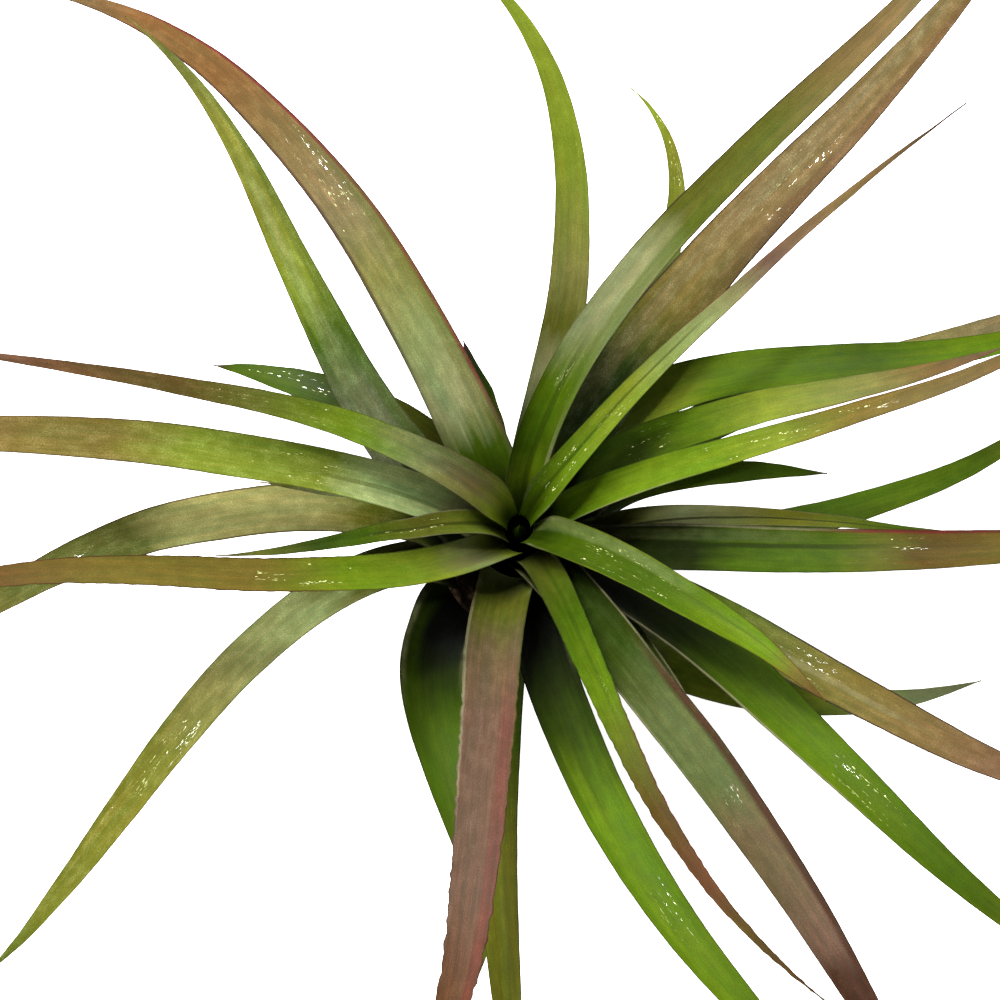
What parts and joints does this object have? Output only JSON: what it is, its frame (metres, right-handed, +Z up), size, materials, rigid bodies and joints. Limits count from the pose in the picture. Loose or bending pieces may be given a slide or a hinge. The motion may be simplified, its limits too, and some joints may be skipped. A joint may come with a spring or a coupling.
{
  "type": "air plant",
  "caption": "Air plant: a loose rosette of tapering, channelled strap leaves on a short woody stem, resting on the stem's flat underside.",
  "frame": {"origin": "middle of the stem's flat underside, on the surface that the plant rests on", "axes": "+Z up along the stem, through the heart of the rosette; +X and +Y along the surface, with -Y towards the viewer of the picture and +X to the viewer's right"},
  "size_m": [0.2131, 0.1986, 0.0953],
  "materials": {
    "green_leaf": "satin, saturated green with parallel veins",
    "silver_leaf": "matt, grey-green under fine silver scales",
    "bronze_leaf": "satin, green turning tan and mauve-brown",
    "stem": "matt, dry fibrous bark"
  },
  "bodies": {
    "root": {"stem": "stem", "outer_leaf_01": "green_leaf", "outer_leaf_02": "green_leaf", "outer_leaf_03": "green_leaf", "outer_leaf_04": "green_leaf", "outer_leaf_05": "green_leaf", "outer_leaf_06": "green_leaf", "outer_leaf_07": "green_leaf", "outer_leaf_08": "silver_leaf", "outer_leaf_09": "green_leaf", "outer_leaf_10": "bronze_leaf", "outer_leaf_11": "bronze_leaf", "outer_leaf_12": "silver_leaf", "middle_leaf_01": "green_leaf", "middle_leaf_02": "green_leaf", "middle_leaf_03": "silver_leaf", "middle_leaf_04": "green_leaf", "middle_leaf_05": "green_leaf", "middle_leaf_06": "green_leaf", "middle_leaf_07": "silver_leaf", "middle_leaf_08": "green_leaf", "middle_leaf_09": "bronze_leaf", "middle_leaf_10": "bronze_leaf", "middle_leaf_11": "silver_leaf", "middle_leaf_12": "green_leaf", "inner_leaf_01": "silver_leaf", "inner_leaf_02": "bronze_leaf", "inner_leaf_03": "green_leaf", "inner_leaf_04": "green_leaf", "inner_leaf_05": "green_leaf", "inner_leaf_06": "green_leaf", "inner_leaf_07": "green_leaf", "inner_leaf_08": "silver_leaf", "inner_leaf_09": "green_leaf", "inner_leaf_10": "bronze_leaf", "inner_leaf_11": "green_leaf"}
  },
  "joints": []
}
